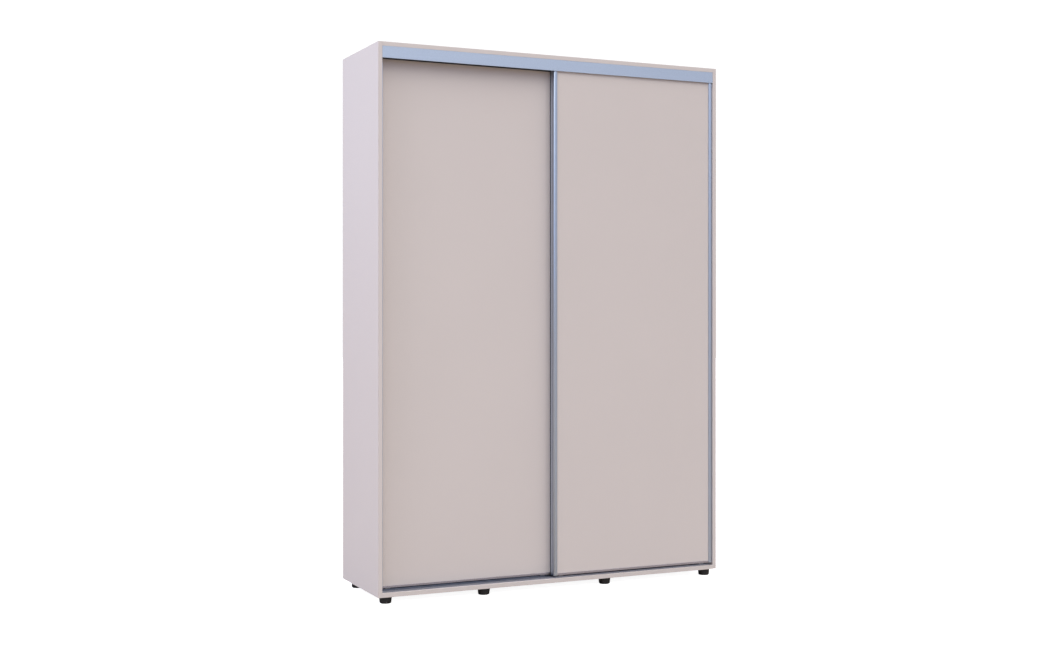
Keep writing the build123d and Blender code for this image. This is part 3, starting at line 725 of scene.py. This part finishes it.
class WARDROBE_OT_running_gear(WardrobeOperator, bpy.types.Operator):
    """Finish the carriages and guide brackets, and model the wheels and the guide rollers"""

    bl_idname = "wardrobe.running_gear"
    bl_label = "Running gear"

    def execute(self, context):
        sizes, colours = settings()
        grey = moulded("Grey plastic", colours.grey, 0.45)
        for name in frame["nodes"]:
            if name.endswith(("carriages", "guide_brackets")):
                paint([name], grey)
                soften(name, sizes.metal_round)
        nylon = turned_nylon("White nylon", colours.nylon)
        make_wheels("wheel", "Y", 0, nylon, sizes)
        make_wheels("guide_roller", "Z", ROLLER_GROOVE, nylon, sizes)
        return {"FINISHED"}


def make_wheels(kind, axis, tread_groove, material, sizes):
    """Model one wheel and copy it to every place that the frame gives one of its kind."""
    nodes = [f"{door}_{kind}_{number}" for door in DOORS for number in (1, 2)]
    low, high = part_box(nodes[0])
    first_middle = (Vector(low) + Vector(high)) / 2
    along = "XYZ".index(axis)
    wheel = turned_wheel(
        f"{nodes[0]}_nylon", first_middle, along,
        radius=(high[0] - low[0]) / 2, width=high[along] - low[along],
        tread_groove=tread_groove, sizes=sizes)
    for node in nodes:
        low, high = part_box(node)
        offset = (Vector(low) + Vector(high)) / 2 - first_middle
        piece = wheel if node == nodes[0] else copied(wheel, f"{node}_nylon", offset)
        settle(piece, node, node, material)


def turned_wheel(name, middle, along, radius, width, tread_groove, sizes):
    """Model a wheel with a rounded tread, a recessed web, a hub and a bore right through."""
    turn = (math.radians(90), 0, 0) if along == 1 else (0, 0, 0)
    wheel = start_mesh(
        bpy.ops.mesh.primitive_cylinder_add, name, vertices=72, radius=radius, depth=width,
        end_fill_type="NGON", location=middle, rotation=turn)
    bore = AXLE_BORE if along == 1 else PIN_BORE
    hub = max(sizes.wheel_hub, bore + HUB_WALL)

    def is_end(face):
        return abs(face.normal[along]) > FLAT

    if tread_groove:
        pick(wheel, "FACE", lambda face: not is_end(face))
        bpy.ops.mesh.inset(thickness=width * GROOVE_EDGE, depth=-tread_groove)
    pick(wheel, "FACE", is_end)
    bpy.ops.mesh.inset(thickness=sizes.wheel_rim, use_individual=True)
    bpy.ops.mesh.inset(thickness=WEB_STEP, depth=-WEB_STEP, use_individual=True)
    bpy.ops.mesh.inset(
        thickness=radius - sizes.wheel_rim - 2 * WEB_STEP - hub, use_individual=True)
    bpy.ops.mesh.inset(thickness=WEB_STEP, depth=HUB_STEP, use_individual=True)
    bpy.ops.mesh.inset(thickness=hub - bore, use_individual=True)
    bpy.ops.mesh.bridge_edge_loops()

    def is_rim(edge):
        ends = [wheel.data.vertices[index].co - middle for index in edge.vertices]
        flat = [Vector([end[axis] for axis in range(3) if axis != along]).length for end in ends]
        level = [abs(end[along]) for end in ends]
        return min(flat) > radius - 2 * HAIR and min(level) > width / 2 - HAIR

    pick(wheel, "EDGE", is_rim)
    bpy.ops.mesh.bevel(offset=RIM_ROUND, segments=3)
    finish_mesh(wheel)
    return wheel


class WARDROBE_OT_brush_seals(WardrobeOperator, bpy.types.Operator):
    """Model the brush seals where the doors meet: a backing with tufts of pile"""

    bl_idname = "wardrobe.brush_seals"
    bl_label = "Brush seals"

    def execute(self, context):
        sizes, colours = settings()
        pile = brush_pile("Brush pile", colours.pile)
        for door, outward in (("left_door", -1), ("right_door", 1)):
            low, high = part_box(f"{door}_brush")
            brush = tufted_brush(f"{door}_brush_pile", Vector(low), Vector(high), outward, sizes)
            settle(brush, door, f"{door}_brush", pile)
        return {"FINISHED"}


def tufted_brush(name, low, high, outward, sizes):
    """Model a brush seal that fills a box: its backing, and a row of tufts that fan out."""
    middle_x = (low.x + high.x) / 2
    backing_face = low.y if outward > 0 else high.y
    backing = start_mesh(
        bpy.ops.mesh.primitive_cube_add, name, size=1,
        location=(middle_x, backing_face + outward * BACKING / 2, (low.z + high.z) / 2),
        scale=(high.x - low.x, BACKING, high.z - low.z))
    rounding = backing.modifiers.new("Round", "BEVEL")
    rounding.width = BACKING_ROUND
    rounding.segments = 2
    bpy.ops.object.modifier_apply(modifier="Round")

    count = int((high.z - low.z - sizes.tuft_spacing) / sizes.tuft_spacing)
    reach = high.y - low.y - BACKING
    root = backing_face + outward * BACKING
    tuft = start_mesh(
        bpy.ops.mesh.primitive_cube_add, f"{name}_tuft", size=1,
        location=(middle_x, root + outward * reach * TUFT_ROOT / 2, low.z + sizes.tuft_spacing),
        scale=(PILE_WIDTH, reach * TUFT_ROOT, sizes.tuft_spacing * TUFT_FILL))
    widen = 1 + 2 * sizes.tuft_spread / PILE_WIDTH

    def is_tip(face):
        return face.normal.y * outward > FLAT

    for share, power in TUFT_STAGES:
        pick(tuft, "FACE", is_tip)
        bpy.ops.mesh.extrude_region_move(
            TRANSFORM_OT_translate={"value": (0, outward * reach * share, 0)})
        bpy.ops.transform.resize(value=(widen ** power, 1, 1))
    pick(tuft, "FACE", is_tip)
    bpy.ops.mesh.subdivide(number_cuts=2)
    bpy.ops.mesh.select_random(ratio=0.5, seed=3)
    bpy.ops.transform.translate(value=(0, outward * reach * TUFT_RAGGED, 0))
    bpy.ops.object.mode_set(mode="OBJECT")
    row = tuft.modifiers.new("Row", "ARRAY")
    row.count = count
    row.use_relative_offset = False
    row.use_constant_offset = True
    row.constant_offset_displace = (0, 0, sizes.tuft_spacing)
    bpy.ops.object.modifier_apply(modifier="Row")

    backing.select_set(True)
    tuft.select_set(True)
    bpy.context.view_layer.objects.active = backing
    bpy.ops.object.join()
    finish_mesh(backing, 30)
    return backing


class WARDROBE_OT_feet(WardrobeOperator, bpy.types.Operator):
    """Model the tapered feet, with a plain collar, grip ribs and a well for the screw"""

    bl_idname = "wardrobe.feet"
    bl_label = "Feet"

    def execute(self, context):
        sizes, colours = settings()
        black = moulded("Black plastic", colours.black, 0.50)
        boxes = solid_boxes("feet")
        first = ribbed_foot("foot_1", boxes[0], sizes)
        for number, (low, high) in enumerate(boxes, start=1):
            offset = (low + high) / 2 - (boxes[0][0] + boxes[0][1]) / 2
            foot = first if number == 1 else copied(first, f"foot_{number}", offset)
            settle(foot, "carcass", "feet", black)
        return {"FINISHED"}


def ribbed_foot(name, box, sizes):
    """Model one foot in the box of its CAD solid."""
    low, high = box
    height = high.z - low.z
    top_radius = (high.x - low.x) / 2
    middle = (low + high) / 2
    foot = start_mesh(
        bpy.ops.mesh.primitive_cone_add, name, vertices=3 * sizes.foot_ribs,
        radius1=sizes.foot_bottom, radius2=top_radius, depth=height,
        end_fill_type="NGON", location=middle)

    def heights(item):
        return [foot.data.vertices[index].co.z for index in item.vertices]

    pick(foot, "EDGE", lambda edge: max(heights(edge)) < low.z + HAIR)
    bpy.ops.mesh.bevel(offset=FOOT_ROUND, segments=5)
    pick(foot, "EDGE", lambda edge: min(heights(edge)) > high.z - HAIR)
    bpy.ops.mesh.bevel(offset=COLLAR_ROUND, segments=2)
    pick(foot, "FACE", lambda face: True)
    bpy.ops.mesh.bisect(
        plane_co=(middle.x, middle.y, high.z - sizes.foot_collar), plane_no=(0, 0, 1))

    step = math.tau / (3 * sizes.foot_ribs)

    def is_groove(face):
        spoke = face.center - middle
        place = math.atan2(spoke.y, spoke.x) / step
        wall = max(heights(face)) - min(heights(face)) > height / 3
        return wall and abs(face.normal.z) < 0.3 and round(place - 0.5) % 3 == 0

    def is_sole(face):
        return face.normal.z < -FLAT and face.area > math.pi * WELL_RADIUS ** 2

    pick(foot, "FACE", is_groove)
    bpy.ops.mesh.inset(thickness=GROOVE_MARGIN, depth=-sizes.foot_groove, use_individual=True)
    pick(foot, "FACE", is_sole)
    bpy.ops.mesh.inset(thickness=sizes.foot_bottom - FOOT_ROUND - WELL_RADIUS)
    bpy.ops.mesh.extrude_region_move(TRANSFORM_OT_translate={"value": (0, 0, WELL_DEPTH)})
    finish_mesh(foot)
    return foot


class WARDROBE_OT_stage(WardrobeOperator, bpy.types.Operator):
    """Set up the floor, the backdrop, the soft studio light and the camera"""

    bl_idname = "wardrobe.stage"
    bl_label = "Studio"

    def execute(self, context):
        colours = settings()[1]
        scene = context.scene
        white = studio_floor("Studio floor", colours.floor, glow=0.92)
        warm = studio_floor("Warm bounce", colours.bounce, glow=0)
        floor = studio_plane("studio_floor", white, height=0)
        bounce = studio_plane("studio_bounce", warm, height=-0.002)
        backdrop = studio_dome("studio_backdrop")
        seen_by_camera_only(floor)
        seen_by_camera_only(backdrop)
        bounce.visible_camera = False
        scene.world = studio_sky(colours)
        soft_sun(
            "key", towards=(0.12, -0.60, 0.79), spread=60, strength=1.33,
            colour=(0.97, 0.93, 0.70))
        soft_sun(
            "back_fill", towards=(0.30, 0.75, 0.45), spread=60, strength=0.55,
            colour=(1.0, 0.97, 0.93))
        soft_light(
            "left_fill", place=(-4.4, -0.5, 3.0), target=(-0.75, 0.0, 1.3), size=2.4, power=86,
            colour=(0.87, 0.91, 1.0))
        scene.camera = studio_camera()
        scene.view_settings.view_transform = "Standard"
        return {"FINISHED"}


def studio_plane(name, material, height):
    """Add a large level floor."""
    bpy.ops.object.select_all(action="DESELECT")
    bpy.ops.mesh.primitive_plane_add(size=60, location=(0, 0, height))
    plane = bpy.context.active_object
    plane.name = name
    plane.data.materials.append(material)
    return plane


def studio_dome(name):
    """Add an evenly lit white dome around the studio."""
    bpy.ops.object.select_all(action="DESELECT")
    bpy.ops.mesh.primitive_uv_sphere_add(segments=48, ring_count=24, radius=29, location=(0, 0, 0))
    dome = bpy.context.active_object
    dome.name = name
    material = bpy.data.materials.new("White backdrop")
    material.use_nodes = True
    shader = material.node_tree.nodes["Principled BSDF"]
    shader.inputs["Base Color"].default_value = (0, 0, 0, 1)
    shader.inputs["Emission Color"].default_value = (1, 1, 1, 1)
    shader.inputs["Emission Strength"].default_value = 1.02
    dome.data.materials.append(material)
    return dome


def seen_by_camera_only(stage_object):
    """Keep a white studio surface out of the light and the reflections."""
    stage_object.visible_diffuse = False
    stage_object.visible_glossy = False
    stage_object.visible_transmission = False
    stage_object.visible_shadow = False


def studio_sky(colours):
    """Light from all round: warm from the ground, cool near the horizon, bright overhead."""
    world = bpy.data.worlds.new("Studio")
    world.use_nodes = True
    tree = world.node_tree
    place = tree.nodes.new("ShaderNodeTexCoord")
    split = tree.nodes.new("ShaderNodeSeparateXYZ")
    tree.links.new(place.outputs["Generated"], split.inputs["Vector"])

    def fade(direction, start, end, first, second):
        """Blend from one colour to the next as a direction goes from start to end."""
        reach = tree.nodes.new("ShaderNodeMapRange")
        reach.inputs["From Min"].default_value = start
        reach.inputs["From Max"].default_value = end
        tree.links.new(split.outputs[direction], reach.inputs["Value"])
        blend = tree.nodes.new("ShaderNodeMix")
        blend.data_type = "RGBA"
        tree.links.new(reach.outputs["Result"], blend.inputs["Factor"])
        for socket, colour in (("A", first), ("B", second)):
            if isinstance(colour, bpy.types.NodeSocket):
                tree.links.new(colour, blend.inputs[socket])
            else:
                blend.inputs[socket].default_value = (*colour, 1)
        return blend.outputs["Result"]

    horizon = fade("X", 0.40, 0.95, colours.sky, colours.far_side)
    low = fade("Z", -0.02, 0.10, colours.bounce, horizon)
    whole = fade("Z", 0.38, 0.80, low, colours.overhead)
    tree.links.new(whole, tree.nodes["Background"].inputs["Color"])
    tree.nodes["Background"].inputs["Strength"].default_value = 1.0
    return world


def soft_sun(name, towards, spread, strength, colour):
    """Add an even light from far off, in the direction given, as wide as a large softbox."""
    light_data = bpy.data.lights.new(name, "SUN")
    light_data.angle = math.radians(spread)
    light_data.energy = strength
    light_data.color = colour
    light = bpy.data.objects.new(name, light_data)
    light.rotation_euler = Vector(towards).to_track_quat("Z", "Y").to_euler()
    bpy.context.scene.collection.objects.link(light)


def soft_light(name, place, target, size, power, colour):
    """Add a square softbox that faces a point."""
    light_data = bpy.data.lights.new(name, "AREA")
    light_data.shape = "SQUARE"
    light_data.size = size
    light_data.energy = power
    light_data.color = colour
    light = bpy.data.objects.new(name, light_data)
    light.location = place
    light.rotation_euler = (Vector(target) - Vector(place)).to_track_quat("-Z", "Y").to_euler()
    light.visible_glossy = False
    bpy.context.scene.collection.objects.link(light)


def studio_camera():
    """Add the camera, level, to the left of the wardrobe and at chest height."""
    camera_data = bpy.data.cameras.new("camera")
    camera_data.lens = 48.77
    camera_data.sensor_width = 36
    camera_data.shift_y = -0.0102
    camera_data.clip_end = 200
    camera = bpy.data.objects.new("camera", camera_data)
    camera.location = (-2.5149, -5.4054, 1.1134)
    camera.rotation_euler = (math.radians(90), 0, math.radians(-24.842))
    bpy.context.scene.collection.objects.link(camera)
    return camera


STEPS = (
    WARDROBE_OT_carcass,
    WARDROBE_OT_fittings,
    WARDROBE_OT_hanging_rail,
    WARDROBE_OT_tracks,
    WARDROBE_OT_door_frames,
    WARDROBE_OT_screw_covers,
    WARDROBE_OT_door_panels,
    WARDROBE_OT_running_gear,
    WARDROBE_OT_brush_seals,
    WARDROBE_OT_feet,
    WARDROBE_OT_stage,
)


class WARDROBE_PT_panel(bpy.types.Panel):
    """The wardrobe's sizes, colours and steps"""

    bl_label = "Sliding Wardrobe"
    bl_idname = "WARDROBE_PT_panel"
    bl_space_type = "VIEW_3D"
    bl_region_type = "UI"
    bl_category = "Wardrobe"

    def draw(self, context):
        for group in settings():
            box = self.layout.box()
            for name in group.__annotations__:
                box.prop(group, name)
        for step in STEPS:
            self.layout.operator(step.bl_idname)


CLASSES = (WardrobeSizes, WardrobeColours, *STEPS, WARDROBE_PT_panel)


def register():
    """Add the classes and the settings to Blender."""
    for item in CLASSES:
        bpy.utils.register_class(item)
    bpy.types.Scene.wardrobe_sizes = PointerProperty(type=WardrobeSizes)
    bpy.types.Scene.wardrobe_colours = PointerProperty(type=WardrobeColours)


def unregister():
    """Take them away again."""
    del bpy.types.Scene.wardrobe_colours
    del bpy.types.Scene.wardrobe_sizes
    for item in reversed(CLASSES):
        bpy.utils.unregister_class(item)


def main():
    """Run every step in order."""
    register()
    for step in STEPS:
        group, name = step.bl_idname.split(".")
        getattr(getattr(bpy.ops, group), name)()


if __name__ == "__main__":
    main()
